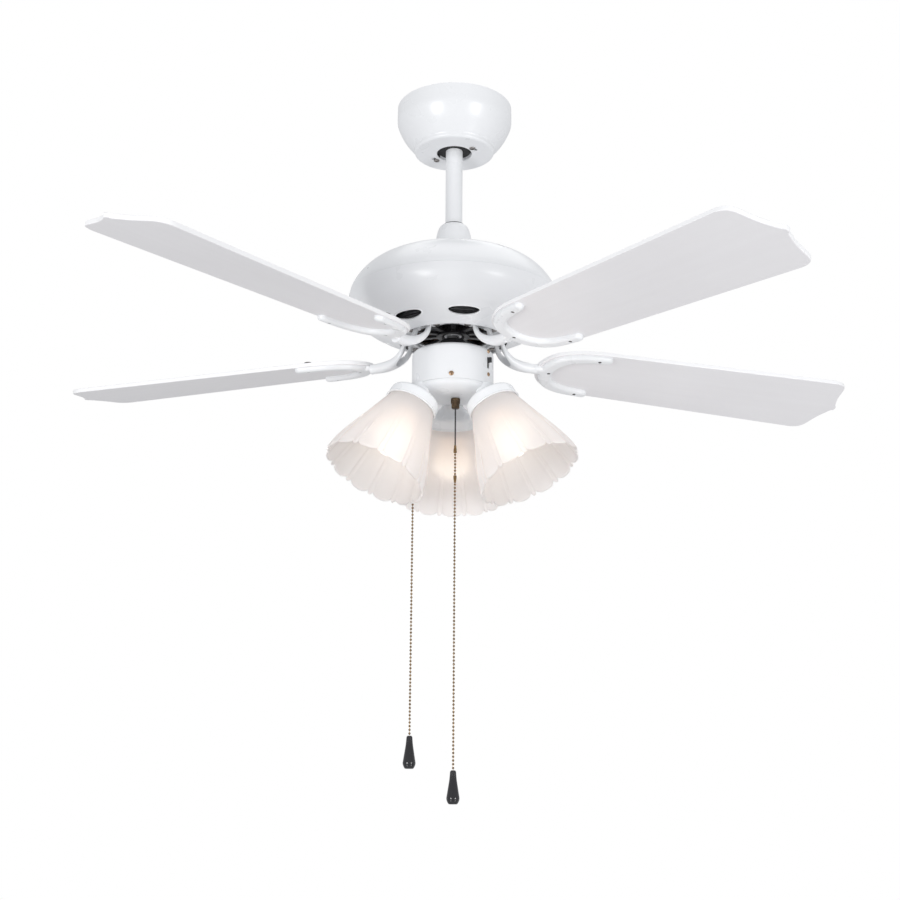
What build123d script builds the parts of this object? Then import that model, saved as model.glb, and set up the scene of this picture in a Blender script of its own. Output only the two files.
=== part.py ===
# Ceiling fan, 42 inch, five blades, short downrod, three bell shades, two pull chains.
# Units mm. +Z up. Origin: centre of the ceiling bracket's top face, in the ceiling plane.
# +Y points away from the face that carries the front housing screw.
from build123d import *
from math import sin, cos, tan, pi, radians, degrees, atan2, sqrt, hypot
import os

os.makedirs("parts", exist_ok=True)

# ---------------------------------------------------------------- driving dimensions
TIP_R = 533.4            # blade tip radius: a 42 inch fan
BLADES = 5
BLADE_AZ = [-55.0, 17.5, 89.2, 158.9, 232.5]      # as the fan in the photograph hangs: not quite 72 apart
BLADE_T = 5.2            # blade thickness
BLADE_Z = -331.0         # blade plane below the ceiling
PITCH = [11.9, 11.9, 11.6, 9.2, 12.3]    # blade pitch, degrees
DROOP = [1.95, 1.75, 1.0, 0.2, 0.45]     # how far each tip hangs low, degrees

CANOPY_R = 72.5
CANOPY_H = 61.5
CANOPY_DISC_R = 50.4
CANOPY_HOLE_R = 22.0
CANOPY_SCREW_R = 28.5
CANOPY_SCREW_AZ = [-38.0, 142.0]

BOX_SPACING = 88.9       # ceiling box screws, 3 1/2 inch
PLATE_L, PLATE_W, PLATE_T = 124.0, 36.0, 2.5
CABLE_R = 10.0

BALL_R = 26.0
BALL_Z = -42.0
SEAT_GAP = 0.3

ROD_R, ROD_IN = 10.6, 8.4
ROD_TOP, ROD_BOT = -17.0, -190.0

HOUSING_TOP_Z = -201.2
SEAM_Z = -257.0
HOUSING_R = 128.4
OPENING_R = 67.0
WALL = 1.4
VENTS = 8
VENT_R, VENT_A, VENT_B = 88.0, 19.1, 6.9
VENT_AZ0 = -81.8

SHAFT_R, SHAFT_IN = 8.0, 5.5
ROTOR_FACE_Z = -306.5    # face that the blade irons bolt to
IRON_BOLT_R, IRON_BOLT_W = 57.5, 19.0
BLADE_LIFT = 1.7         # blade seat above the nominal blade plane
SCREW_BASE_R = 124.9     # blade screws: one at the base, two on the prongs
SCREW_PRONG_R, SCREW_PRONG_W = 176.0, 42.4
IRON_T = 5.6

SW_R, SW_TOP, SW_BOT = 49.6, -327.9, -373.4
SWITCH_AZ = -31.0        # direction switch
SWITCH_Z = -347.0
KNOB_Z = -343.8
KNOB_TRAVEL = 6.4
PULL_AZ = 151.2          # fan pull chain outlet
PULL_Z = -359.5
PULL_R = 54.0

FITTER_Z = -384.6        # underside of the light fitter
HOLDER_AZ = [-150.0, -30.0, 90.0]
HOLDER_R, HOLDER_Z = 57.8, -403.5     # centre of the holder's lower rim
SHADE_TILT = 28.1        # shade axis from straight down, outward
CAP_R = 31.4
SHADE_L = 100.0

CHAIN_R = 1.6
LIGHT_FOB_TOP, FAN_FOB_TOP = -824.0, -784.6
NUT_X = 3.5              # the light chain's outlet is a little to one side of the middle
FOB_L = 37.6


# ---------------------------------------------------------------- helpers
def V(r, z):
    return Vector(r, 0, z)


def wire_of(segs):
    """segs: list of ('L', pts) polylines or ('S', pts[, t0, t1]) splines in (r, z), end to end."""
    edges = []
    last = None
    first = None
    for s in segs:
        pts = s[1]
        if last is not None and hypot(pts[0][0] - last[0], pts[0][1] - last[1]) > 1e-6:
            edges.append(Edge.make_line(V(*last), V(*pts[0])))
        if s[0] == 'L':
            for a, b in zip(pts, pts[1:]):
                edges.append(Edge.make_line(V(*a), V(*b)))
        else:
            if len(s) > 2:
                edges.append(Edge.make_spline([V(*q) for q in pts], tangents=[V(*s[2]), V(*s[3])]))
            else:
                edges.append(Edge.make_spline([V(*q) for q in pts]))
        if first is None:
            first = pts[0]
        last = pts[-1]
    if hypot(first[0] - last[0], first[1] - last[1]) > 1e-6:
        edges.append(Edge.make_line(V(*last), V(*first)))
    return Wire(edges)


def rev(segs):
    if isinstance(segs[0][0], (int, float)):
        segs = [('L', segs)]
    return revolve(Face(wire_of(segs)), Axis.Z, 360)


def offset_pts(pts, d):
    """Shift a polyline sideways by d (to the right of its direction)."""
    out = []
    n = len(pts)
    for i, p in enumerate(pts):
        a = pts[max(i - 1, 0)]
        b = pts[min(i + 1, n - 1)]
        tx, tz = b[0] - a[0], b[1] - a[1]
        l = hypot(tx, tz)
        out.append((p[0] + d * tz / l, p[1] - d * tx / l))
    return out


def cyl(r, z0, z1, x=0.0, y=0.0):
    return Pos(x, y, (z0 + z1) / 2) * Cylinder(r, abs(z1 - z0))


def ring(r1, r0, z0, z1):
    return cyl(r1, z0, z1) - cyl(r0, z0 - 1, z1 + 1)


def polar(r, az, z=0.0):
    return Pos(r * cos(radians(az)), r * sin(radians(az)), z)


def az_loc(az):
    return Rot(0, 0, az)


def comp(items):
    sol = []
    for it in items:
        sol += list(it.solids())
    return Compound(children=sol) if len(sol) > 1 else sol[0]


NODES = {}


def put(name, shape):
    sol = list(shape.solids())
    NODES[name] = Compound(children=sol) if len(sol) > 1 else sol[0]
    export_step(NODES[name], "parts/" + name + ".step")
    print("%-24s solids %2d  volume %.0f" % (name, len(sol), sum(s.volume for s in sol)))


# ---------------------------------------------------------------- ceiling bracket
plate = Pos(0, 0, -PLATE_T / 2) * Box(PLATE_L, PLATE_W, PLATE_T)
plate = fillet(plate.edges().filter_by(Axis.Z), 8)
plate -= cyl(CABLE_R, -5, 1)
for sx in (-1, 1):
    slot = Pos(sx * BOX_SPACING / 2, 0, -PLATE_T) * extrude(SlotOverall(16, 5.6), 2 * PLATE_T)
    plate -= slot
SEAT_R = BALL_R + SEAT_GAP
seat = ring(33.0, 21.0, -54.0, -44.0) & Pos(0, 0, -49.0) * Box(64.6, 80.0, 20.0)
# two straps welded between the plate and the seat
arms = []
for sx in (-1, 1):
    arms.append(Pos(sx * 33.6, 0, (-51.0 - PLATE_T) / 2) * Box(2.6, 26, 51.0 - PLATE_T))
# lugs that take the canopy screws
for az in CANOPY_SCREW_AZ:
    x, y = CANOPY_SCREW_R * cos(radians(az)), CANOPY_SCREW_R * sin(radians(az))
    seat += cyl(4.6, -60.2, -50.0, x, y)
    seat -= cyl(2.05, -62, -50.5, x, y)
# registration tab that enters the ball's groove
tab = Pos(0, 27.0, -47.5) * Box(5.0, 8.0, 7.0) - Pos(0, 0, BALL_Z) * Sphere(22.8)
seat -= Pos(0, 0, BALL_Z) * Sphere(SEAT_R)
seat += tab
put("mounting_bracket", comp([plate, arms[0], arms[1], seat]))

# ---------------------------------------------------------------- hanger ball, pin, rod
ball = Pos(0, 0, BALL_Z) * Sphere(BALL_R)
ball &= Pos(0, 0, (-58.2 - 20.5) / 2) * Box(80, 80, 58.2 - 20.5)
ball -= cyl(ROD_R, -80, 0)
groove = Pos(0, 20, BALL_Z) * Box(6.6, 40, 80) - Pos(0, 0, BALL_Z) * Sphere(22.0)
ball -= groove
PIN_Z = -33.0
pin_ch = Pos(0, 0, PIN_Z) * Rot(0, 90, 0) * Cylinder(3.1, 37.0)
ball -= pin_ch
put("hanger_ball", ball)

rod = ring(ROD_R, ROD_IN, ROD_BOT, ROD_TOP)
CLEVIS_Z = -177.0
rod -= Pos(0, 0, PIN_Z) * Rot(0, 90, 0) * Cylinder(3.1, 60)
rod -= Pos(0, 0, CLEVIS_Z) * Rot(0, 90, 0) * Cylinder(3.1, 60)
put("downrod", rod)
put("ball_pin", Pos(0, 0, PIN_Z) * Rot(0, 90, 0) * Cylinder(3.0, 36.4))

# ---------------------------------------------------------------- canopy
o_wall = [(CANOPY_R - 0.1, -0.4), (CANOPY_R, -10.0), (CANOPY_R, -18.5)]
o_bowl = [(CANOPY_R, -18.5), (70.6, -26.6), (66.3, -35.8), (61.9, -42.8), (57.2, -48.8), (52.7, -54.0)]
t_end = (o_bowl[-1][0] - o_bowl[-2][0], o_bowl[-1][1] - o_bowl[-2][1])
i_bowl = [(p[0], p[1]) for p in offset_pts(o_bowl, 1.2)][::-1]
i_bowl[-1] = (CANOPY_R - 1.2, -18.5)
canopy = rev([
    ('L', o_wall),
    ('S', o_bowl, (0, -1), t_end),
    ('L', [(52.7, -54.0), (51.0, -55.4)]),
    ('S', [(51.0, -55.4), (50.45, -56.6), (CANOPY_DISC_R, -58.2)]),
    ('S', [(CANOPY_DISC_R, -58.2), (49.3, -60.6), (46.9, -CANOPY_H)], (0, -1), (-1, 0)),
    ('L', [(46.9, -CANOPY_H), (CANOPY_HOLE_R + 0.9, -CANOPY_H)]),
    ('S', [(CANOPY_HOLE_R + 0.9, -CANOPY_H), (CANOPY_HOLE_R + 0.2, -CANOPY_H + 0.35), (CANOPY_HOLE_R, -CANOPY_H + 1.2)]),
    ('L', [(CANOPY_HOLE_R, -CANOPY_H + 1.25), (46.5, -CANOPY_H + 1.25), (49.1, -58.2), (49.1, -56.0)]),
    ('S', i_bowl),
    ('L', [(CANOPY_R - 1.2, -18.5), (CANOPY_R - 1.3, -0.4)]),
])
for az in CANOPY_SCREW_AZ:
    s = Pos(0, 0, -CANOPY_H - 2) * extrude(SlotOverall(12.5, 5.4), 6)
    canopy -= polar(CANOPY_SCREW_R, az) * Rot(0, 0, az + 90) * Pos(2.9, 0, 0) * s
put("canopy", canopy)


def pan_screw(head_r, head_h, shank_r, shank_l, slot=True):
    """Head above z = 0, shank below, cross recess in the head."""
    head = rev([('L', [(0, 0), (head_r, 0), (head_r, head_h * 0.35)]),
                ('S', [(head_r, head_h * 0.35), (head_r * 0.72, head_h * 0.86), (0, head_h)], (0, 1), (-1, 0))])
    s = head + cyl(shank_r, -shank_l, 0.0)
    if slot:
        d = head_h * 0.5
        for a in (0, 90):
            s -= Pos(0, 0, head_h - d / 2 + 0.01) * Rot(0, 0, a) * Box(head_r * 1.1, head_r * 0.24, d)
    return s


scr = []
for az in CANOPY_SCREW_AZ:
    scr.append(polar(CANOPY_SCREW_R, az, -CANOPY_H) * Rot(180, 0, 30) * pan_screw(3.5, 1.9, 1.95, 10.5))
put("canopy_screws", comp(scr))

# ---------------------------------------------------------------- coupling and its cover
CPL_TOP = -166.0
coupling = rev([(ROD_R + 0.05, CPL_TOP), (13.7, CPL_TOP), (14.1, CPL_TOP - 0.6), (14.1, -194.5), (19.0, -196.0), (19.0, HOUSING_TOP_Z),
                (SHAFT_R, HOUSING_TOP_Z), (SHAFT_R, ROD_BOT - 0.3), (ROD_R + 0.05, ROD_BOT - 0.3)])
coupling -= Pos(0, 0, CLEVIS_Z) * Rot(0, 90, 0) * Cylinder(3.1, 60)
put("motor_coupling", coupling)
clevis = Pos(0, 0, CLEVIS_Z) * Rot(0, 90, 0) * (Cylinder(3.0, 32.4) + Pos(0, 0, 15.4) * Cylinder(4.2, 1.6))
clevis -= Pos(-15.15, 0, CLEVIS_Z) * Cylinder(0.95, 12)
hitch = Pos(-15.15, 0, CLEVIS_Z) * Cylinder(0.85, 9.6)
put("clevis_pin", comp([clevis, hitch]))

o_cov = [(22.9, -200.9), (22.8, -188.0), (22.1, -178.0), (20.6, -170.6), (18.6, -164.6), (16.2, -161.2), (13.6, -160.0)]
i_cov = offset_pts(o_cov, -1.1)[::-1]
i_cov[-1] = (21.8, -200.9)
i_cov[0] = (12.6, -161.1)
cover = rev([('L', [(22.9, -200.9), (22.8, -188.0)]),
             ('S', o_cov[1:], (0, 1), (-1, 0.12)),
             ('L', [(13.6, -160.0), (12.4, -160.05), (12.4, -161.1)]),
             ('S', i_cov[:-1]),
             ('L', [i_cov[-2], i_cov[-1]])])
CS_AZ, CS_Z = -99.0, -188.0
cover -= Rot(0, 0, CS_AZ) * Pos(20, 0, CS_Z) * Rot(0, 90, 0) * Cylinder(2.35, 14)
put("coupling_cover", cover)
# grub screw that locks the cover on the coupling
put("coupling_cover_screw",
    Rot(0, 0, CS_AZ) * Pos(14.15, 0, CS_Z) * Rot(0, 90, 0) *
    (cyl(1.65, 0, 8.4) + rev([(0, 8.4), (2.2, 8.4), (2.2, 9.3), (1.6, 9.9), (0, 9.9)]) - Pos(0, 0, 9.6) * Box(5, 0.6, 0.8)))

# ---------------------------------------------------------------- motor housing
o_top = [(26.0, -201.4), (50.0, -203.3), (80.0, -209.8), (103.6, -221.4), (119.4, -237.2), (127.0, -251.6), (127.8, -256.6)]
i_top = offset_pts(o_top, WALL)[::-1]
i_top[0] = (126.3, -256.6)
i_top[-1] = (26.0, -201.4 - WALL)
housing_top = rev([
    ('L', [(SHAFT_R + 0.1, HOUSING_TOP_Z), (22.0, HOUSING_TOP_Z), (26.0, -201.4)]),
    ('S', o_top, (1, -0.05), (0.06, -1)),
    ('L', [(127.8, -256.6), (127.2, -256.9), (126.5, -257.4), (126.1, -264.0), (124.9, -264.0), (125.2, -257.4)]),
    ('S', [(125.2, -257.4)] + i_top[1:], (0, 1), (-1, 0.05)),
    ('L', [(26.0, -201.4 - WALL), (22.0, HOUSING_TOP_Z - WALL), (SHAFT_R + 0.1, HOUSING_TOP_Z - WALL)]),
])
put("housing_top", housing_top)

o_bot = [(HOUSING_R, -257.2), (HOUSING_R - 0.3, -262.0), (126.3, -270.0), (119.4, -282.4), (107.7, -293.0), (98.0, -298.0)]
o_bot2 = [(98.0, -298.0), (86.0, -304.0), (74.0, -309.6), (68.4, -312.2)]
i_bot = offset_pts(o_bot, WALL)
i_bot[0] = (HOUSING_R - WALL, -257.2)
i_bot2 = offset_pts(o_bot2, WALL)
i_bot2[0] = i_bot[-1]
i_bot2[-1] = (68.2, -310.6)
housing_bottom = rev([
    ('S', o_bot, (0, -1), (-1, -0.48)),
    ('L', o_bot2[:-1]),
    ('S', [o_bot2[-2], o_bot2[-1], (67.2, -312.0), (OPENING_R, -311.0)]),
    ('L', [(OPENING_R, -311.0), (67.5, -310.5), i_bot2[-1], i_bot2[-2], i_bot2[-3], i_bot2[0]]),
    ('S', i_bot[::-1], (1, 0.48), (0, 1)),
])
for k in range(VENTS):
    az = VENT_AZ0 + 45.0 * k
    housing_bottom -= az_loc(az) * Pos(VENT_R, 0, -318) * extrude(Ellipse(VENT_B, VENT_A), 24)
put("housing_bottom", housing_bottom)

# ---------------------------------------------------------------- shaft, stator, bearings
SHAFT_TOP, SHAFT_BOT = ROD_BOT - 0.8, -337.5
shaft = ring(SHAFT_R, SHAFT_IN, SHAFT_BOT, SHAFT_TOP) + (ring(12.5, SHAFT_R - 0.5, -207.0, HOUSING_TOP_Z - WALL - 0.05))
put("motor_shaft", shaft)

ST_Z0, ST_Z1 = -292.0, -274.0
TEETH = 12
TOOTH_W = 9.0
core = ring(69.5, SHAFT_R, ST_Z0, ST_Z1)
for k in range(TEETH):
    a0 = 360.0 / TEETH * (k + 0.5)
    # one winding slot between two teeth
    half = 180.0 / TEETH
    p = []
    r_in, r_out = 28.0, 60.0
    w_in = r_in * sin(radians(half)) - TOOTH_W / 2 * cos(radians(half))
    w_out = r_out * sin(radians(half)) - TOOTH_W / 2 * cos(radians(half))
    poly = Polygon((r_in, -w_in), (r_out, -w_out), (r_out, w_out), (r_in, w_in), align=None)
    sl = Pos(0, 0, ST_Z0 - 1) * extrude(poly, ST_Z1 - ST_Z0 + 2)
    core -= az_loc(a0) * sl
    core -= az_loc(a0) * Pos(65, 0, (ST_Z0 + ST_Z1) / 2) * Box(14, 3.0, ST_Z1 - ST_Z0 + 2)
put("stator_core", core)

coils = []
for k in range(TEETH):
    c = Box(20.0, TOOTH_W + 8.4, ST_Z1 - ST_Z0 + 11.0)
    c = fillet(c.edges().filter_by(Axis.X), 3.6)
    c -= Box(22.0, TOOTH_W + 0.4, ST_Z1 - ST_Z0 + 0.4)
    coils.append(az_loc(360.0 / TEETH * k) * Pos(47.5, 0, (ST_Z0 + ST_Z1) / 2) * c)
put("stator_windings", comp(coils))

BR_IN, BR_MID0, BR_MID1, BR_OUT = SHAFT_R, 10.6, 13.4, 16.0
BR_W = 9.0
BEAR_Z = [-305.5 + BR_W / 2, -255.5 - BR_W / 2]
PITCH_R, B_R = 12.0, 2.1
inner, outer, balls = [], [], []
for bz in BEAR_Z:
    tor = Pos(0, 0, bz) * Torus(PITCH_R, B_R + 0.03)
    inner.append(ring(BR_MID0, BR_IN, bz - BR_W / 2, bz + BR_W / 2) - tor)
    outer.append(ring(BR_OUT, BR_MID1, bz - BR_W / 2, bz + BR_W / 2) - tor)
    for k in range(8):
        balls.append(polar(PITCH_R, 45 * k + 10, bz) * Sphere(B_R))
put("bearing_inner_races", comp(inner))
put("bearing_outer_races", comp(outer))
put("bearing_balls", comp(balls))

# ---------------------------------------------------------------- rotor
RR_IN, RR_OUT = 70.0, 84.0
RR_Z0, RR_Z1 = -300.5, -266.0
rotor_ring = rev([(RR_IN, RR_Z0), (RR_OUT, RR_Z0), (RR_OUT, RR_Z1), (RR_IN, RR_Z1)])
for z in (-296.0, -270.5):
    rotor_ring -= ring(RR_OUT + 1, RR_OUT - 0.8, z - 0.6, z + 0.6)
put("rotor_ring", rotor_ring)

bolt_pts = []
for az in BLADE_AZ:
    for sw in (-1, 1):
        a = radians(az)
        x = IRON_BOLT_R * cos(a) - sw * IRON_BOLT_W * sin(a)
        y = IRON_BOLT_R * sin(a) + sw * IRON_BOLT_W * cos(a)
        bolt_pts.append((x, y))

low = rev([(46.0, -305.8), (48.0, ROTOR_FACE_Z), (68.0, ROTOR_FACE_Z), (72.0, -303.3), (RR_OUT, -302.4), (RR_OUT, RR_Z0), (66.0, RR_Z0),
           (64.5, -301.8), (46.0, -301.8)])
low += ring(20.0, BR_OUT, -306.5, -296.5) + ring(20.0, 13.9, -306.5, -305.5)
for k in range(10):
    low += az_loc(36.0 * k + 18.0) * Pos(33.0, 0, -303.6) * Box(28.0, 6.0, 3.4)
low -= cyl(BR_OUT, -305.5, -290)
low -= cyl(13.9, -310, -290)
for (x, y) in bolt_pts:
    low -= cyl(2.5, -308, -299, x, y)
put("rotor_bottom_cover", low)

top = rev([(BR_OUT, -266.0), (RR_OUT, -266.0), (RR_OUT, -264.4), (80.0, -262.8), (20.0, -262.8), (20.0, -255.5), (BR_OUT, -255.5)])
top += ring(20.0, 13.9, -255.5, -254.5)
for k in range(6):
    top -= az_loc(60.0 * k) * Pos(47, 0, -268) * extrude(Ellipse(17, 11), 8)
put("rotor_top_cover", top)

# ---------------------------------------------------------------- blades and irons
def mirror_pts(pts):
    return [(p[0], -p[1]) for p in pts[::-1]]


R_APEX = 109.2
root = [(R_APEX, 0.0), (110.9, 12.0), (116.6, 25.0), (127.5, 37.0), (143.0, 44.8), (164.0, 49.9), (186.0, 51.5)]
side0, side1 = (186.0, 51.5), (493.0, 61.3)
tip = [side1, (504.0, 60.7), (511.6, 57.4), (516.0, 51.2), (518.0, 43.5), (520.2, 33.0), (523.2, 22.0), (527.2, 12.0), (530.9, 5.0), (TIP_R, 0.0)]


def E(pts, t0=None, t1=None):
    v = [Vector(p[0], p[1], 0) for p in pts]
    if t0 is None:
        return Edge.make_spline(v)
    return Edge.make_spline(v, tangents=[Vector(*t0), Vector(*t1)])


sl = (side1[0] - side0[0], side1[1] - side0[1])
up = [E(root, (0, 1), sl), Edge.make_line(Vector(*side0), Vector(*side1)), E(tip, sl, (0, -1))]
dn = [E(mirror_pts(tip), (0, -1), (-sl[0], sl[1])),
      Edge.make_line(Vector(side1[0], -side1[1]), Vector(side0[0], -side0[1])),
      E(mirror_pts(root), (-sl[0], sl[1]), (0, 1))]
blade_face = Face(Wire(up + dn))
blade0 = Pos(0, 0, -BLADE_T / 2) * extrude(blade_face, BLADE_T, dir=(0, 0, 1))
try:
    b2 = fillet(blade0.edges().filter_by(lambda e: abs(e.center().Z) > BLADE_T / 2 - 1e-3), 1.1)
    if b2.is_valid and b2.volume > 0:
        blade0 = b2
    print("blade fillet ok")
except Exception as exc:
    print("blade fillet skipped", exc)
SCREWS = [(SCREW_BASE_R, 0.0), (SCREW_PRONG_R, SCREW_PRONG_W), (SCREW_PRONG_R, -SCREW_PRONG_W)]
for (x, y) in SCREWS:
    blade0 -= cyl(2.3, -8, 8, x, y)

# crescent under the blade root
cl = [(187.0, 43.6), (176.0, 42.4), (160.0, 39.6), (146.0, 34.8), (133.6, 25.4), (126.6, 12.8), (124.6, 0.0),
      (126.6, -12.8), (133.6, -25.4), (146.0, -34.8), (160.0, -39.6), (176.0, -42.4), (187.0, -43.6)]
HW = 6.3
cl_edge = E(cl)
left, right = [], []
NS = 28
for i in range(NS + 1):
    t = i / NS
    p = cl_edge.position_at(t)
    d = cl_edge.tangent_at(t)
    nx, ny = -d.Y, d.X
    k = HW
    wide = HW + 4.6 * sin(pi * t) ** 1.5       # broader over the blade root, outward only
    left.append((p.X + nx * k, p.Y + ny * k))
    right.append((p.X - nx * wide, p.Y - ny * wide))
d0 = cl_edge.tangent_at(0)
d1 = cl_edge.tangent_at(1)
p0 = cl_edge.position_at(0)
p1 = cl_edge.position_at(1)
ew = Wire([
    E(left), Edge.make_three_point_arc(Vector(*left[-1]), p1 + d1 * HW, Vector(*right[-1])),
    E(right[::-1]), Edge.make_three_point_arc(Vector(*right[0]), p0 - d0 * HW, Vector(*left[0])),
])
cres = extrude(Face(ew), IRON_T, dir=(0, 0, 1))
zc = -BLADE_T / 2 - IRON_T
cres = Pos(0, 0, zc) * cres
try:
    c2 = fillet(cres.edges().filter_by(lambda e: abs(e.center().Z - zc) < 1e-3), 4.2)
    if c2.is_valid and c2.volume > 0:
        cres = c2
    print("crescent fillet ok")
except Exception as exc:
    print("crescent fillet skipped", exc)

ARM = [  # r, z below the blade plane, path slope, thickness, width
    ((60.3, 24.5), (0.0, -1.0), 4.8, 26.0, 1.6),
    ((60.7, 18.6), (0.12, -1.0), 5.0, 26.0, 1.8),
    ((64.2, 10.4), (0.62, -0.80), 6.4, 25.0, 2.6),
    ((71.4, 3.0), (0.85, -0.53), 8.8, 21.0, 3.8),
    ((81.4, -1.9), (0.95, -0.30), 11.0, 16.8, 5.0),
    ((94.0, -4.4), (0.99, -0.12), 12.2, 14.2, 5.7),
    ((108.7, -5.1), (1.0, -0.03), 12.4, 13.6, 5.9),
]
secs = []
for (c, d, t, w, rr) in ARM:
    pl = Plane(origin=(c[0], 0, c[1]), x_dir=(0, 1, 0), z_dir=(d[0], 0, d[1]))
    secs.append(pl * RectangleRounded(w, t, rr))
arm = loft(secs)
slot_c = 66.2
slot = Pos(0, 0, -9) * extrude(Pos(slot_c - 20, 0) * Rectangle(40, 16.6) + Pos(slot_c, 0) * Circle(8.3), 40)
arm -= slot
tabs = []
for sw in (-1, 1):
    tb = Pos(57.6, sw * 17.9, 23.25) * Box(14.0, 19.0, 2.5)
    tb = fillet(tb.edges().filter_by(Axis.Z), 3.0)
    tb -= cyl(2.6, 15, 30, IRON_BOLT_R, sw * IRON_BOLT_W)
    tabs.append(tb)
pad = Pos(113.0, 0, zc + IRON_T / 2) * Box(16.0, 13.2, IRON_T)
pad = fillet(pad.edges().filter_by(Axis.X).filter_by(lambda e: e.center().Z < zc + 1), 3.6)


def seat_loc(i):
    return Pos(0, 0, BLADE_LIFT) * Rot(0, DROOP[i], 0) * Rot(-PITCH[i], 0, 0)


def iron_of(i):
    s_loc = seat_loc(i)
    ir = s_loc * (cres + pad)
    for (x, y) in SCREWS:
        ir -= s_loc * cyl(2.2, -20, 20, x, y)
    ir = ir + arm + tabs[0] + tabs[1]
    for sw in (-1, 1):
        ir -= cyl(2.6, 15, 30, IRON_BOLT_R, sw * IRON_BOLT_W)
    # leave the blade its seat
    ir -= s_loc * Pos(0, 0, -BLADE_T / 2) * extrude(blade_face, BLADE_T + 12, dir=(0, 0, 1))
    return ir


for i, az in enumerate(BLADE_AZ):
    L = Pos(0, 0, BLADE_Z) * az_loc(az)
    put("blade_%d" % (i + 1), L * seat_loc(i) * blade0)
    put("blade_iron_%d" % (i + 1), L * iron_of(i))

bs, isc = [], []
one = pan_screw(4.6, 2.4, 2.05, 10.4)
for i, az in enumerate(BLADE_AZ):
    L = Pos(0, 0, BLADE_Z) * az_loc(az)
    for (x, y) in SCREWS:
        bs.append(L * seat_loc(i) * Pos(x, y, BLADE_T / 2) * one)
for (x, y) in bolt_pts:
    isc.append(Pos(x, y, ROTOR_FACE_Z - 2.5) * Rot(180, 0, 0) * pan_screw(4.2, 2.4, 2.4, 7.6))
put("blade_screws", comp(bs))
put("iron_screws", comp(isc))

# ---------------------------------------------------------------- switch housing
hub = rev([(SHAFT_R + 0.02, -312.0), (15.0, -312.0), (16.0, -313.0), (16.0, -324.0), (18.0, -325.2), (30.0, -325.6), (30.0, SW_TOP), (SHAFT_R + 0.02, SW_TOP)])
for a in (30, 150, 270):
    hub -= cyl(1.9, -330, -320, 24 * cos(radians(a)), 24 * sin(radians(a)))
put("switch_mount_plate", hub)
put("shaft_nut", Pos(0, 0, -335.6) * extrude(RegularPolygon(12.4, 6), 6.1) - cyl(SHAFT_R + 0.02, -340, -325))

WSW = 1.3
sw = rev([
    ('L', [(SHAFT_R + 0.2, SW_TOP), (SW_R - 4.8, SW_TOP)]),
    ('S', [(SW_R - 4.8, SW_TOP), (SW_R - 1.4, SW_TOP - 1.4), (SW_R, SW_TOP - 4.8)], (1, 0), (0, -1)),
    ('L', [(SW_R, SW_TOP - 4.8), (SW_R, SW_BOT + 0.5), (SW_R - 0.4, SW_BOT), (SW_R - WSW, SW_BOT), (SW_R - WSW, SW_TOP - 4.8)]),
    ('S', [(SW_R - WSW, SW_TOP - 4.8), (SW_R - 1.4 - 0.92, SW_TOP - 1.4 - 0.92), (SW_R - 4.8, SW_TOP - WSW)], (0, 1), (-1, 0)),
    ('L', [(SW_R - 4.8, SW_TOP - WSW), (SHAFT_R + 0.2, SW_TOP - WSW)]),
])
for a in (30, 150, 270):
    sw -= cyl(1.9, -332, -320, 24 * cos(radians(a)), 24 * sin(radians(a)))
# opening for the direction switch and its two screws
sw -= az_loc(SWITCH_AZ) * Pos(SW_R, 0, SWITCH_Z) * Box(8, 4.6, 14.0)
SCR_DZ = 14.5
for dz in (-SCR_DZ, SCR_DZ):
    sw -= az_loc(SWITCH_AZ) * Pos(SW_R, 0, SWITCH_Z + dz) * Rot(0, 90, 0) * Cylinder(1.45, 8)
sw -= az_loc(PULL_AZ) * Pos(SW_R, 0, PULL_Z) * Rot(0, 90, 0) * Cylinder(3.6, 8)
SH_SCREW_AZ = [-92.0, 29.0, 119.0]
SH_SCREW_Z = -367.8
for a in SH_SCREW_AZ:
    sw -= az_loc(a) * Pos(SW_R, 0, SH_SCREW_Z) * Rot(0, 90, 0) * Cylinder(1.6, 8)
put("switch_housing", sw)
put("switch_housing_screws", comp([az_loc(a) * Pos(SW_R + 0.02, 0, SH_SCREW_Z) * Rot(0, 90, 0) * Rot(0, 0, 20) * pan_screw(2.9, 1.7, 1.5, 5.4) for a in SH_SCREW_AZ]))

rsb = az_loc(SWITCH_AZ) * Pos(40.4, 0, SWITCH_Z) * Box(12.0, 10.0, 22.0)
rsb += az_loc(SWITCH_AZ) * Pos(46.5, 0, SWITCH_Z) * Box(1.4, 8.0, 32.4)
rsb &= cyl(SW_R - WSW - 0.05, -380, -320)
rsb -= az_loc(SWITCH_AZ) * Pos(45.8, 0, SWITCH_Z) * Box(8, 4.4, 13.4)
for dz in (-SCR_DZ, SCR_DZ):
    rsb -= az_loc(SWITCH_AZ) * Pos(46, 0, SWITCH_Z + dz) * Rot(0, 90, 0) * Cylinder(1.35, 12)
put("reverse_switch_body", rsb)
knob = Pos(49.2, 0, 0) * Box(9.6, 3.4, 6.0)
knob = fillet(knob.edges().filter_by(Axis.Z), 0.7)
for dz in (-1.6, 0.0, 1.6):
    knob -= Pos(54.1, 0, dz) * Box(0.8, 6, 0.6)
put("reverse_switch_knob", az_loc(SWITCH_AZ) * Pos(0, 0, KNOB_Z) * knob)
put("reverse_switch_screws", comp([az_loc(SWITCH_AZ) * Pos(SW_R + 0.02, 0, SWITCH_Z + dz) * Rot(0, 90, 0) * Rot(0, 0, 35) * pan_screw(2.5, 1.5, 1.3, 5.0) for dz in (-SCR_DZ, SCR_DZ)]))

cap = Pos(0, -27.0, -352.0) * Box(38.0, 15.0, 25.0)
cap = fillet(cap.edges(), 2.0)
put("capacitor", cap)

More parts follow.
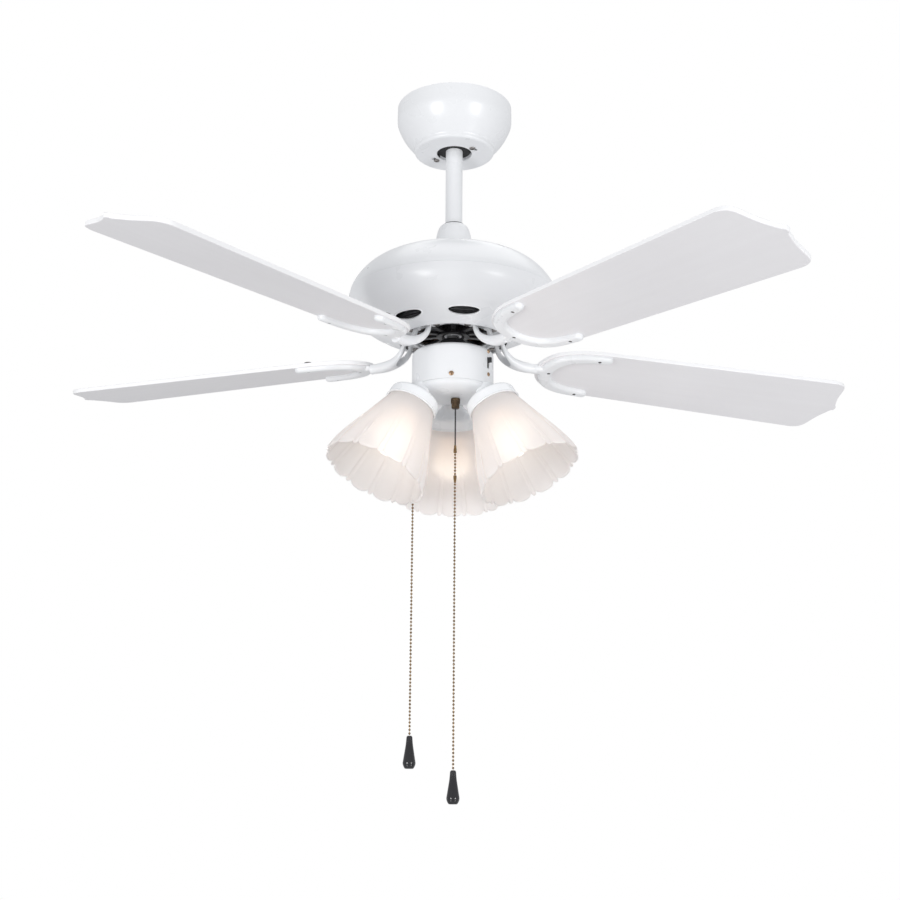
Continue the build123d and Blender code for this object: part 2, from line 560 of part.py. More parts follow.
fps = az_loc(PULL_AZ) * (Pos(32.8, 0, PULL_Z) * Box(17.0, 24.0, 22.0) + Pos(43.6, 0, PULL_Z) * Rot(0, 90, 0) * Cylinder(3.2, 5.2))
fps -= az_loc(PULL_AZ) * Pos(39.8, 0, PULL_Z) * Rot(0, 90, 0) * Cylinder(2.0, 16)
put("fan_pull_switch", fps)
# black outlet elbow: threaded through the wall, mouth turned down
bush_l = (rev([(2.0, 0.0), (3.55, 0.0), (3.55, 3.6), (4.2, 3.6), (4.2, 4.6), (4.0, 8.6), (3.2, 10.6), (2.0, 10.6)]))
bush = az_loc(PULL_AZ) * Pos(46.3, 0, PULL_Z) * Rot(0, 90, 0) * bush_l
bush += az_loc(PULL_AZ) * (Pos(PULL_R, 0, PULL_Z) * Sphere(4.0) + cyl(3.0, PULL_Z - 5.4, PULL_Z, PULL_R, 0))
bush -= az_loc(PULL_AZ) * (Pos(48.8, 0, PULL_Z) * Rot(0, 90, 0) * Cylinder(2.0, 10.4))
bush -= az_loc(PULL_AZ) * cyl(2.0, PULL_Z - 3.4, PULL_Z, PULL_R, 0)
bush -= az_loc(PULL_AZ) * cyl(CHAIN_R, PULL_Z - 8, PULL_Z - 1, PULL_R, 0)
put("fan_chain_bushing", bush)

# ---------------------------------------------------------------- pull chains
def fob():
    return rev([
        ('L', [(0, 0), (2.6, 0), (3.3, -0.7), (3.5, -2.2)]),
        ('S', [(3.5, -2.2), (4.3, -10.0), (5.7, -19.0), (7.2, -28.0), (7.5, -30.5)]),
        ('L', [(7.5, -30.5), (7.3, -32.6), (5.4, -FOB_L + 0.5), (4.8, -FOB_L), (0, -FOB_L)]),
    ])


PX, PY = PULL_R * cos(radians(PULL_AZ)), PULL_R * sin(radians(PULL_AZ))
put("fan_pull_chain", cyl(CHAIN_R - 0.02, FAN_FOB_TOP, PULL_Z - 5.4 + 3.6, PX, PY))
put("fan_pull_fob", Pos(PX, PY, FAN_FOB_TOP) * fob())

# ---------------------------------------------------------------- light fitter
NUT_TOP = FITTER_Z - 0.2
bowl_o = [(48.7, -377.2), (47.0, -378.9), (42.6, -381.0), (35.0, -383.2), (25.4, -384.4), (16.0, FITTER_Z)]
bowl_i = offset_pts(bowl_o, 1.4)[::-1]
bowl_i[0] = (16.0, FITTER_Z + 1.4)
bowl_i[-1] = (47.0, -377.0)
fitter = rev([
    ('L', [(48.1, -364.6), (48.1, SW_BOT - 0.3), (49.0, SW_BOT - 0.3), (49.0, -376.6), (48.7, -377.2)]),
    ('S', bowl_o),
    ('L', [(16.0, FITTER_Z), (0, FITTER_Z), (0, FITTER_Z + 1.4), (16.0, FITTER_Z + 1.4)]),
    ('S', bowl_i[:-1]),
    ('L', [bowl_i[-2], (46.8, -376.2), (46.7, -364.6)]),
])
for a in SH_SCREW_AZ:
    fitter -= az_loc(a) * Pos(SW_R, 0, SH_SCREW_Z) * Rot(0, 90, 0) * Cylinder(1.55, 14)
fitter -= cyl(3.3, FITTER_Z - 1, FITTER_Z + 3, NUT_X, 0)
tilt = radians(SHADE_TILT)


def holder_loc(az):
    a = radians(az)
    er = Vector(cos(a), sin(a), 0)
    ax = er * sin(tilt) + Vector(0, 0, -cos(tilt))
    o = er * HOLDER_R + Vector(0, 0, HOLDER_Z)
    xd = er * cos(tilt) + Vector(0, 0, sin(tilt))
    return Plane(origin=o, x_dir=xd, z_dir=ax).location


for az in HOLDER_AZ:
    fitter -= holder_loc(az) * cyl(5.05, -45, -10)
put("light_fitter", fitter)

bowl_solid = rev([
    ('L', [(0, -340.0), (SW_R + 0.1, -340.0), (SW_R + 0.1, SW_BOT), (49.1, SW_BOT), (49.1, -376.6), (48.8, -377.3)]),
    ('S', [(q[0] + 0.06, q[1] - 0.08) for q in [(48.74, -377.22)] + bowl_o[1:]]),
    ('L', [(16.06, FITTER_Z - 0.08), (0, FITTER_Z - 0.08)]),
])
holder_l = rev([
    ('L', [(CAP_R - 1.2, 0.0), (CAP_R + 0.7, 0.0), (CAP_R + 0.9, -0.9), (CAP_R + 0.5, -1.8), (CAP_R, -2.3), (CAP_R - 0.5, -11.0)]),
    ('S', [(CAP_R - 0.5, -11.0), (CAP_R - 1.6, -13.8), (CAP_R - 4.4, -15.6)], (-0.06, -1), (-1, -0.45)),
    ('S', [(CAP_R - 4.4, -15.6), (20.0, -19.0), (14.6, -23.0), (12.2, -29.0), (12.0, -36.0)], (-1, -0.45), (0, -1)),
    ('L', [(12.0, -36.0), (0, -36.0), (0, -13.9), (CAP_R - 4.6, -13.9)]),
    ('S', [(CAP_R - 4.6, -13.9), (CAP_R - 2.7, -13.0), (CAP_R - 1.75, -11.0)], (1, 0.2), (0.05, 1)),
])
nipple = cyl(5.0, -41.5, -20.0)
for i, az in enumerate(HOLDER_AZ):
    L = holder_loc(az)
    h = (L * holder_l) - bowl_solid
    hs = sorted(h.solids(), key=lambda s: -s.volume)[0]
    h = hs + (L * nipple)
    h -= ring(60, SW_R - WSW - 1.7, SW_BOT - 0.05, -340)
    h -= cyl(10.0, -384.0, -340.0)
    h = sorted(h.solids(), key=lambda s: -s.volume)[0]
    put("shade_holder_%d" % (i + 1), h)

sock_l = rev([(0, -13.85), (17.5, -13.85), (17.5, 10.5), (16.6, 11.5), (13.6, 11.5), (13.6, -9.0), (0, -9.0)])
put("lamp_sockets", comp([holder_loc(az) * sock_l for az in HOLDER_AZ]))
ringn_l = rev([(17.6, -9.9), (24.2, -9.9), (24.2, -6.2), (23.4, -5.6), (17.6, -5.6)])
for k in range(12):
    ringn_l -= az_loc(30 * k) * Pos(24.6, 0, -8) * Cylinder(1.1, 8)
put("shade_ring_nuts", comp([holder_loc(az) * ringn_l for az in HOLDER_AZ]))

bulb_l = rev([
    ('L', [(0, -8.6), (9.0, -8.6), (13.2, -5.4), (13.2, 12.2), (13.7, 13.4)]),
    ('S', [(13.7, 13.4), (15.6, 20.0), (22.0, 30.5), (27.0, 42.0), (27.2, 52.0), (22.6, 63.5), (12.6, 71.0), (0, 73.6)], (0.1, 1), (-1, 0)),
])
put("bulbs", comp([holder_loc(az) * bulb_l for az in HOLDER_AZ]))

GL = 3.0
s_out = [(27.3, -11.6), (28.3, -6.0), (29.7, 0.0), (33.2, 10.0), (36.8, 20.0), (40.2, 30.0), (43.8, 40.0), (47.5, 50.0), (51.2, 60.0), (54.7, 70.0),
         (57.9, 80.0), (60.5, 90.0), (61.7, 97.0), (62.0, SHADE_L)]
s_in = offset_pts(s_out, -GL)[::-1]
s_in[0] = (62.0 - GL, SHADE_L)
s_in[-1] = (24.9, -9.9)
glass_l = rev([
    ('L', [(18.2, -13.6), (25.6, -13.6), (26.9, -12.9), (27.3, -11.6)]),
    ('S', s_out),
    ('L', [(62.0, SHADE_L), (62.0 - GL, SHADE_L)]),
    ('S', s_in),
    ('L', [(24.9, -9.9), (18.2, -9.9)]),
])
for i, az in enumerate(HOLDER_AZ):
    put("shade_%d" % (i + 1), holder_loc(az) * glass_l)

lps = ring(11.0, 2.0, -382.9, -368.0) + ring(3.2, 2.0, NUT_TOP, -382.9)
lps = Pos(NUT_X, 0, 0) * lps
put("light_pull_switch", lps)
NUT_BOT = -397.6
nut = rev([(CHAIN_R, NUT_TOP), (5.4, NUT_TOP), (5.6, NUT_TOP - 0.5), (5.6, -390.4), (5.1, -391.2), (5.1, -395.2), (4.2, -397.2), (3.2, NUT_BOT), (CHAIN_R, NUT_BOT)])
nut -= rev([(0, -392.6), (3.9, -391.0), (3.9, NUT_TOP + 1), (0, NUT_TOP + 1)])
put("light_chain_nut", Pos(NUT_X, 0, 0) * nut)
C1T, C1B = -443.2, -452.7      # bell connector below the pin
C2T, C2B = -480.4, -489.3      # splice connector
pin = cyl(1.0, C1T, NUT_BOT + 3.0)
put("light_pull_chain", Pos(NUT_X, 0, 0) * comp([pin, cyl(CHAIN_R, C2T, C1B), cyl(CHAIN_R, LIGHT_FOB_TOP, C2B)]))


def connector(zt, zb):
    h = zt - zb
    return rev([('L', [(0, zt), (1.1, zt)]),
                ('S', [(1.1, zt), (1.9, zt - 0.2 * h), (2.2, zt - 0.5 * h), (2.2, zt - 0.85 * h)]),
                ('L', [(2.2, zt - 0.85 * h), (1.9, zb), (0, zb)])])


put("light_chain_connectors", Pos(NUT_X, 0, 0) * comp([connector(C1T, C1B), connector(C2T, C2B)]))
put("light_pull_fob", Pos(NUT_X, 0, LIGHT_FOB_TOP) * fob())

allb = Compound(children=[s for n in NODES.values() for s in n.solids()]).bounding_box()
print("nodes", len(NODES), "box", [round(v, 1) for v in (allb.min.X, allb.min.Y, allb.min.Z, allb.max.X, allb.max.Y, allb.max.Z)])
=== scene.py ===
import math
import random

import bmesh
import bpy
from mathutils import Matrix, Vector


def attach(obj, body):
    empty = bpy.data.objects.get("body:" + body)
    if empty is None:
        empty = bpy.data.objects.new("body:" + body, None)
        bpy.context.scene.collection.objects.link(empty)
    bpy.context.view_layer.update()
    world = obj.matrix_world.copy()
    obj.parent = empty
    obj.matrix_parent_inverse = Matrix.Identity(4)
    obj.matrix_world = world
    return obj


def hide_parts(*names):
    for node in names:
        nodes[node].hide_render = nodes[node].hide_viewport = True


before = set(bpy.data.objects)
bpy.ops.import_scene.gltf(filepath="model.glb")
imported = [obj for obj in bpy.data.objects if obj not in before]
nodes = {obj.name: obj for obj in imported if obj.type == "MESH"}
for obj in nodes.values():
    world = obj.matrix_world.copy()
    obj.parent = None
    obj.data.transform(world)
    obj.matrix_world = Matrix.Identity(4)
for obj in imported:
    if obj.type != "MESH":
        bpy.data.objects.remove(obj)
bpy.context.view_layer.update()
scene = bpy.context.scene
MM = 0.001
rng = random.Random(7)


# ------------------------------------------------------------------ camera
def aim(lens, place, tilt, yaw, roll):
    data = bpy.data.cameras.new("camera")
    data.lens = lens
    data.sensor_width = 36.0
    data.clip_start, data.clip_end = 0.05, 200.0
    data.dof.use_dof = False
    cam = bpy.data.objects.new("camera", data)
    scene.collection.objects.link(cam)
    fw = Vector((math.sin(yaw) * math.cos(tilt), math.cos(yaw) * math.cos(tilt), math.sin(tilt)))
    r0 = Vector((math.cos(yaw), -math.sin(yaw), 0.0))
    u0 = r0.cross(fw)
    r = r0 * math.cos(roll) + u0 * math.sin(roll)
    u = r.cross(fw)
    m = Matrix((
        (r.x, u.x, -fw.x, place[0]),
        (r.y, u.y, -fw.y, place[1]),
        (r.z, u.z, -fw.z, place[2]),
        (0, 0, 0, 1),
    ))
    cam.matrix_world = m
    scene.camera = cam
    return cam


aim(55.88, (0.0, -1.6263, -0.8628), 0.2492, -0.00165, 0.0074)


# ------------------------------------------------------------------ node helpers
class Mat:
    """A material being wired up."""

    def __init__(self, name):
        self.m = bpy.data.materials.new(name)
        self.m.use_nodes = True
        self.t = self.m.node_tree
        self.bsdf = self.t.nodes["Principled BSDF"]
        self.coord = self.t.nodes.new("ShaderNodeTexCoord")

    def set(self, **kw):
        for k, v in kw.items():
            self.bsdf.inputs[k.replace("_", " ")].default_value = v
        return self

    def node(self, kind, **kw):
        n = self.t.nodes.new(kind)
        for k, v in kw.items():
            if k in n.inputs:
                n.inputs[k].default_value = v
            else:
                setattr(n, k, v)
        return n

    def link(self, a, b):
        self.t.links.new(a, b)

    def place(self, scale=(1, 1, 1), rot=(0, 0, 0), move=(0, 0, 0)):
        n = self.node("ShaderNodeMapping")
        n.inputs["Scale"].default_value = scale
        n.inputs["Rotation"].default_value = rot
        n.inputs["Location"].default_value = move
        self.link(self.coord.outputs["Object"], n.inputs["Vector"])
        return n.outputs["Vector"]

    def noise(self, vec, scale, detail=2.0, rough=0.5, distort=0.0):
        n = self.node("ShaderNodeTexNoise")
        n.inputs["Scale"].default_value = scale
        n.inputs["Detail"].default_value = detail
        n.inputs["Roughness"].default_value = rough
        n.inputs["Distortion"].default_value = distort
        self.link(vec, n.inputs["Vector"])
        return n.outputs["Fac"]

    def ramp(self, fac, stops):
        n = self.node("ShaderNodeValToRGB")
        cr = n.color_ramp
        while len(cr.elements) < len(stops):
            cr.elements.new(0.5)
        for e, (p, c) in zip(cr.elements, stops):
            e.position = p
            e.color = (*c, 1.0) if len(c) == 3 else c
        self.link(fac, n.inputs["Fac"])
        return n.outputs["Color"]

    def span(self, fac, lo, hi, a=0.3, b=0.7):
        n = self.node("ShaderNodeMapRange")
        n.inputs["From Min"].default_value = a
        n.inputs["From Max"].default_value = b
        n.inputs["To Min"].default_value = lo
        n.inputs["To Max"].default_value = hi
        self.link(fac, n.inputs["Value"])
        return n.outputs["Result"]

    def math(self, op, a, b=None, c=None):
        n = self.node("ShaderNodeMath", operation=op)
        for k, v in enumerate((a, b, c)):
            if v is None:
                continue
            if isinstance(v, (int, float)):
                n.inputs[k].default_value = v
            else:
                self.link(v, n.inputs[k])
        return n.outputs[0]

    def mix(self, fac, a, b, blend="MIX"):
        n = self.node("ShaderNodeMix", data_type="RGBA", blend_type=blend)
        if isinstance(fac, (int, float)):
            n.inputs[0].default_value = fac
        else:
            self.link(fac, n.inputs[0])
        for k, v in ((6, a), (7, b)):
            if isinstance(v, tuple):
                n.inputs[k].default_value = (*v, 1.0)
            else:
                self.link(v, n.inputs[k])
        return n.outputs[2]

    def colour(self, out):
        self.link(out, self.bsdf.inputs["Base Color"])

    def rough(self, out):
        self.link(out, self.bsdf.inputs["Roughness"])

    def bump(self, height, strength, distance, chain=None):
        n = self.node("ShaderNodeBump")
        n.inputs["Strength"].default_value = strength
        n.inputs["Distance"].default_value = distance
        self.link(height, n.inputs["Height"])
        if chain is not None:
            self.link(chain, n.inputs["Normal"])
        self.link(n.outputs["Normal"], self.bsdf.inputs["Normal"])
        return n.outputs["Normal"]


def enamel(name, light, dark, rough=(0.26, 0.34), coat=0.2):
    """Baked gloss enamel on pressed or cast metal: a faint orange peel and a little unevenness of tone."""
    k = Mat(name)
    p = k.place()
    tone = k.noise(p, 7.0, 4.0)
    k.colour(k.ramp(tone, [(0.30, dark), (0.72, light)]))
    k.rough(k.span(k.noise(p, 30.0, 3.0), *rough))
    peel = k.noise(p, 520.0, 2.0)
    k.bump(peel, 0.06, 0.0001)
    k.set(Metallic=0.0, IOR=1.5, Coat_Weight=coat, Coat_Roughness=0.22)
    return k.m


def metal(name, light, dark, rough=(0.25, 0.45), grain=None, fine=900.0, bump=0.12):
    """Plated or turned metal: blotchy tone, scratch-fine grain."""
    k = Mat(name)
    p = k.place() if grain is None else k.place(scale=grain)
    blotch = k.noise(k.place(), 130.0, 4.0, 0.6)
    k.colour(k.ramp(blotch, [(0.28, dark), (0.72, light)]))
    k.rough(k.span(k.noise(p, fine * 0.25, 3.0), *rough))
    k.bump(k.noise(p, fine, 3.0), bump, 0.00006)
    k.set(Metallic=1.0)
    return k.m


def plastic(name, light, dark, rough=(0.35, 0.5), peel=700.0, bump=0.18, coat=0.0):
    k = Mat(name)
    p = k.place()
    k.colour(k.ramp(k.noise(p, 60.0, 3.0), [(0.3, dark), (0.7, light)]))
    k.rough(k.span(k.noise(p, 90.0, 3.0), *rough))
    k.bump(k.noise(p, peel, 2.0), bump, 0.00008)
    k.set(Coat_Weight=coat, Coat_Roughness=0.04)
    return k.m


M = {}
M["white_enamel"] = enamel("white_enamel", (0.862, 0.872, 0.888), (0.845, 0.855, 0.872))
# painted light: the shade holders get a lighter copy of the white enamel, brighter than the same enamel elsewhere
M["cap_enamel_painted_lit"] = enamel("cap_enamel_painted_lit", (0.925, 0.94, 0.955), (0.91, 0.925, 0.942), rough=(0.22, 0.32), coat=0.2)
# painted highlight: the vent lips get a lighter copy of the white enamel
M["lip_enamel_painted_highlight"] = enamel("lip_enamel_painted_highlight", (0.94, 0.95, 0.96), (0.92, 0.93, 0.945), rough=(0.2, 0.3), coat=0.2)
M["zinc_steel"] = metal("zinc_steel", (0.70, 0.70, 0.70), (0.52, 0.52, 0.54))
M["black_rubber"] = plastic("black_rubber", (0.016, 0.015, 0.016), (0.009, 0.009, 0.01), rough=(0.6, 0.8), peel=400, bump=0.3)
M["black_plastic"] = plastic("black_plastic", (0.026, 0.026, 0.028), (0.016, 0.016, 0.018))
M["gloss_black"] = plastic("gloss_black", (0.014, 0.0135, 0.016), (0.009, 0.009, 0.011), rough=(0.14, 0.2), peel=260, bump=0.02, coat=0.35)
M["black_paint"] = plastic("black_paint", (0.03, 0.03, 0.033), (0.016, 0.016, 0.018), rough=(0.28, 0.42), peel=520, bump=0.25, coat=0.2)
# painted shade: aluminium toned far darker than bare metal, so the motor inside reads dark through the vents
M["bright_aluminium"] = metal("bright_aluminium", (0.46, 0.46, 0.47), (0.30, 0.30, 0.31), rough=(0.3, 0.45), grain=(1, 1, 9), fine=500)
M["copper_wire"] = metal("copper_wire", (0.62, 0.30, 0.15), (0.42, 0.18, 0.09), rough=(0.25, 0.4), grain=(1, 1, 6), fine=700, bump=0.4)
M["brass_screw"] = metal("brass_screw", (0.60, 0.42, 0.27), (0.34, 0.22, 0.14), rough=(0.2, 0.38))
M["grub_screw"] = metal("grub_screw", (0.30, 0.16, 0.12), (0.14, 0.075, 0.06), rough=(0.3, 0.45))
M["worn_steel"] = metal("worn_steel", (0.44, 0.42, 0.41), (0.22, 0.20, 0.19), rough=(0.28, 0.45))
M["antique_brass"] = metal("antique_brass", (0.36, 0.245, 0.12), (0.13, 0.085, 0.045), rough=(0.22, 0.40), bump=0.2)
M["dark_bronze"] = metal("dark_bronze", (0.19, 0.13, 0.08), (0.06, 0.044, 0.03), rough=(0.24, 0.40), bump=0.25)
M["screw_end"] = metal("screw_end", (0.12, 0.11, 0.11), (0.05, 0.045, 0.045), rough=(0.35, 0.5))


def chain_metal():
    """Bead chain in dark bronze; the pin above the first bell end is dark plated steel."""
    k = Mat("chain_metal")
    p = k.place()
    sep = k.node("ShaderNodeSeparateXYZ")
    k.link(p, sep.inputs[0])
    pin = k.span(sep.outputs["Z"], 0.0, 1.0, -0.4445, -0.4435)
    near = k.node("ShaderNodeVectorMath", operation="LENGTH")
    flat = k.node("ShaderNodeVectorMath", operation="MULTIPLY")
    flat.inputs[1].default_value = (1.0, 1.0, 0.0)
    k.link(p, flat.inputs[0])
    k.link(flat.outputs["Vector"], near.inputs[0])
    centre = k.span(near.outputs["Value"], 1.0, 0.0, 0.012, 0.02)
    blotch = k.noise(p, 420.0, 3.0, 0.6)
    brass = k.ramp(blotch, [(0.28, (0.16, 0.11, 0.065)), (0.72, (0.36, 0.25, 0.14))])
    k.colour(k.mix(k.math("MULTIPLY", pin, centre), brass, (0.085, 0.08, 0.08)))
    k.rough(k.span(k.noise(p, 300.0, 3.0), 0.24, 0.4))
    k.bump(k.noise(p, 1500.0, 2.0), 0.15, 0.00005)
    k.set(Metallic=1.0)
    return k.m


M["chain_metal"] = chain_metal()


def rotor_pressing():
    """Rotor end cover: black paint over the hub, bare bright metal in a band outside it, and black again past 71 mm, a
    painted shade for the part seen through the vents.
    """
    k = Mat("rotor_pressing")
    p = k.place()
    flat = k.node("ShaderNodeVectorMath", operation="MULTIPLY")
    flat.inputs[1].default_value = (1.0, 1.0, 0.0)
    k.link(p, flat.inputs[0])
    near = k.node("ShaderNodeVectorMath", operation="LENGTH")
    k.link(flat.outputs["Vector"], near.inputs[0])
    # bare metal only between 48 and 71 mm; the black outside it is painted shade for the vent view
    out = k.math("MULTIPLY", k.span(near.outputs["Value"], 0.0, 1.0, 0.0480, 0.0490), k.span(near.outputs["Value"], 1.0, 0.0, 0.0705, 0.0715))
    grain = k.noise(p, 130.0, 4.0, 0.6)
    paint = k.ramp(grain, [(0.3, (0.016, 0.016, 0.018)), (0.7, (0.032, 0.030, 0.032))])
    bare = k.ramp(grain, [(0.3, (0.55, 0.56, 0.57)), (0.7, (0.76, 0.77, 0.78))])
    k.colour(k.mix(out, paint, bare))
    k.link(out, k.bsdf.inputs["Metallic"])
    k.rough(k.span(k.noise(p, 220.0, 3.0), 0.24, 0.4))
    k.bump(k.noise(p, 500.0, 2.0), 0.12, 0.00008)
    return k.m


M["rotor_pressing"] = rotor_pressing()


def lamination():
    """A stack of thin varnished steel sheets."""
    k = Mat("lamination_steel")
    p = k.place(scale=(1, 1, 1))
    sep = k.node("ShaderNodeSeparateXYZ")
    k.link(p, sep.inputs[0])
    saw = k.math("FRACT", k.math("MULTIPLY", sep.outputs["Z"], 1400.0))
    k.colour(k.ramp(saw, [(0.0, (0.06, 0.06, 0.065)), (0.25, (0.22, 0.22, 0.23)), (1.0, (0.25, 0.25, 0.26))]))
    k.rough(k.span(k.noise(p, 160.0, 2.0), 0.35, 0.55))
    k.bump(saw, 0.4, 0.0001)
    k.set(Metallic=0.8)
    return k.m


M["lamination_steel"] = lamination()


def blade_board(name, az):
    """White laminate over board: long, faint streaks along the blade, softly satin."""
    k = Mat(name)
    p = k.place(scale=(1.0, 1.0, 1.0), rot=(0, 0, -math.radians(az)))
    n = k.node("ShaderNodeMapping")
    n.inputs["Scale"].default_value = (3.0, 46.0, 20.0)
    k.link(p, n.inputs["Vector"])
    streak = k.noise(n.outputs["Vector"], 2.2, 5.0, 0.6)
    cloud = k.noise(p, 7.0, 3.0)
    a = k.ramp(streak, [(0.30, (0.80, 0.785, 0.80)), (0.70, (0.83, 0.82, 0.835))])
    b = k.ramp(cloud, [(0.30, (0.80, 0.785, 0.80)), (0.70, (0.85, 0.84, 0.855))])
    # painted highlight and shade: side faces, picked by their normal, turn whiter while the broad faces keep a greyer
    # lavender
    nrm = k.node("ShaderNodeSeparateXYZ")
    k.link(k.coord.outputs["Normal"], nrm.inputs[0])
    edge = k.span(k.math("ABSOLUTE", nrm.outputs["Z"]), 1.0, 0.0, 0.45, 0.85)
    k.colour(k.mix(edge, k.mix(0.5, a, b), (0.93, 0.93, 0.94)))
    k.rough(k.span(cloud, 0.34, 0.46))
    k.bump(streak, 0.05, 0.0001)
    k.set(Coat_Weight=0.1, Coat_Roughness=0.2)
    return k.m


def frosted():
    """Acid-frosted pressed glass: pale, slightly warm, with a faint mottle."""
    k = Mat("frosted_glass")
    p = k.place()
    mottle = k.noise(p, 60.0, 4.0)
    k.colour(k.ramp(mottle, [(0.3, (0.945, 0.915, 0.905)), (0.7, (0.96, 0.935, 0.925))]))
    k.rough(k.span(k.noise(p, 240.0, 2.0), 0.38, 0.46))
    k.bump(k.noise(p, 1100.0, 2.0), 0.15, 0.00006)
    # painted glow: a warm emission on the outside faces of the wall stands in for lamp light scattered through the
    # glass, strongest level with the lamp; the inside of the bell gets none and stays a cooler grey
    sp = k.node("ShaderNodeSeparateXYZ")
    k.link(p, sp.inputs[0])
    out = k.node("ShaderNodeCombineXYZ")
    k.link(sp.outputs["X"], out.inputs["X"])
    k.link(sp.outputs["Y"], out.inputs["Y"])
    unit = k.node("ShaderNodeVectorMath", operation="NORMALIZE")
    k.link(out.outputs[0], unit.inputs[0])
    face = k.node("ShaderNodeVectorMath", operation="DOT_PRODUCT")
    k.link(unit.outputs[0], face.inputs[0])
    k.link(k.coord.outputs["Normal"], face.inputs[1])
    outer = k.span(face.outputs["Value"], 0.0, 1.0, 0.0, 0.5)
    down = k.span(sp.outputs["Z"], 0.0, 1.0, -0.01, 0.10)
    painted_glow = k.ramp(down, [(0.0, (0.35, 0.31, 0.29)), (0.25, (0.75, 0.655, 0.585)), (0.55, (1.0, 0.85, 0.72)), (1.0, (0.62, 0.55, 0.51))])
    k.link(k.mix(outer, (0.0, 0.0, 0.0), painted_glow), k.bsdf.inputs["Emission Color"])
    k.set(IOR=1.33, Transmission_Weight=0.5, Emission_Strength=0.11)
    return k.m


M["frosted_glass"] = frosted()


def lamp():
    """Opal lamp, lit: warm at the neck, whiter at the crown."""
    k = Mat("lamp_glass")
    p = k.place()
    sep = k.node("ShaderNodeSeparateXYZ")
    k.link(p, sep.inputs[0])
    up = k.span(sep.outputs["Z"], 0.0, 1.0, 0.016, 0.050)
    col = k.ramp(up, [(0.0, (0.42, 0.27, 0.16)), (1.0, (1.0, 0.89, 0.74))])
    k.colour(k.ramp(k.noise(p, 50.0, 2.0), [(0.3, (0.93, 0.90, 0.85)), (0.7, (0.96, 0.94, 0.9))]))
    k.rough(k.span(k.noise(p, 90.0, 2.0), 0.3, 0.4))
    k.bump(k.noise(p, 500.0, 2.0), 0.05, 0.00005)
    k.link(col, k.bsdf.inputs["Emission Color"])
    k.set(Emission_Strength=1.3)
    return k.m


M["lamp_glass"] = lamp()


# ------------------------------------------------------------------ mesh helpers
def finish_mesh(me, sharp_deg=38.0):
    bm = bmesh.new()
    bm.from_mesh(me)
    bmesh.ops.recalc_face_normals(bm, faces=bm.faces)
    lim = math.radians(sharp_deg)
    for f in bm.faces:
        f.smooth = True
    for e in bm.edges:
        if len(e.link_faces) == 2:
            e.smooth = e.calc_face_angle(0.0) < lim
    bm.to_mesh(me)
    bm.free()


def new_piece(name, verts, faces, mat, body, matrix=None, sharp=38.0):
    me = bpy.data.meshes.new(name)
    me.from_pydata([tuple(v) for v in verts], [], faces)
    me.validate()
    finish_mesh(me, sharp)
    ob = bpy.data.objects.new(name, me)
    scene.collection.objects.link(ob)
    if matrix is not None:
        ob.matrix_world = matrix
        bpy.context.view_layer.update()
    me.materials.append(M[mat] if isinstance(mat, str) else mat)
    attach(ob, body)
    return ob


def smooth_line(pts, n):
    """Catmull-Rom samples through the points."""
    out = []
    q = [pts[0]] + list(pts) + [pts[-1]]
    for i in range(1, len(q) - 2):
        for j in range(n):
            t = j / n
            a, b, c, d = q[i - 1], q[i], q[i + 1], q[i + 2]
            out.append(tuple(
                0.5 * ((2 * b[k]) + (-a[k] + c[k]) * t + (2 * a[k] - 5 * b[k] + 4 * c[k] - d[k]) * t * t
                       + (-a[k] + 3 * b[k] - 3 * c[k] + d[k]) * t ** 3)
                for k in range(2)))
    out.append(tuple(pts[-1]))
    return out


def lathe(prof, seg, radial=None, closed=True):
    """prof: (r, z) points in metres, in order. radial(phi, r, z) may shift a radius."""
    verts, faces, rows = [], [], []
    for (r, z) in prof:
        if r < 1e-7:
            rows.append([len(verts)])
            verts.append((0.0, 0.0, z))
            continue
        row = []
        for k in range(seg):
            a = 2 * math.pi * k / seg
            rr = r if radial is None else radial(a, r, z)
            row.append(len(verts))
            verts.append((rr * math.cos(a), rr * math.sin(a), z))
        rows.append(row)
    pairs = list(zip(rows, rows[1:]))
    if closed and len(rows[0]) > 1 and len(rows[-1]) > 1:
        pairs.append((rows[-1], rows[0]))
    for a, b in pairs:
        for k in range(seg):
            j = (k + 1) % seg
            if len(a) == 1 and len(b) == 1:
                continue
            if len(a) == 1:
                faces.append((a[0], b[k], b[j]))
            elif len(b) == 1:
                faces.append((a[k], b[0], a[j]))
            else:
                faces.append((a[k], b[k], b[j], a[j]))
    return verts, faces


# ------------------------------------------------------------------ pull chains
def route(name, pts):
    """The chain's own line: a NURBS spline through its control points, read back as points."""
    cu = bpy.data.curves.new(name, "CURVE")
    cu.dimensions = "3D"
    cu.resolution_u = 24
    sp = cu.splines.new("NURBS")
    sp.points.add(len(pts) - 1)
    for p, q in zip(sp.points, pts):
        p.co = (*q, 1.0)
    sp.order_u = 3
    sp.use_endpoint_u = True
    ob = bpy.data.objects.new(name, cu)
    scene.collection.objects.link(ob)
    dg = bpy.context.evaluated_depsgraph_get()
    me = bpy.data.meshes.new_from_object(ob.evaluated_get(dg))
    line = [v.co.copy() for v in me.vertices]
    bpy.data.objects.remove(ob)
    bpy.data.meshes.remove(me)
    if (line[0] - Vector(pts[0])).length > (line[-1] - Vector(pts[0])).length:
        line.reverse()
    return line


def along(line, s):
    """Point and direction at distance s along the line."""
    for a, b in zip(line, line[1:]):
        d = (b - a).length
        if s <= d or b is line[-1]:
            t = (b - a).normalized()
            return a + t * s, t
        s -= d
    return line[-1], (line[-1] - line[-2]).normalized()


def run_length(line):
    return sum((b - a).length for a, b in zip(line, line[1:]))


BALL = 0.00140      # bead radius
STEP = 0.00417      # bead to bead
WIRE = 0.00036


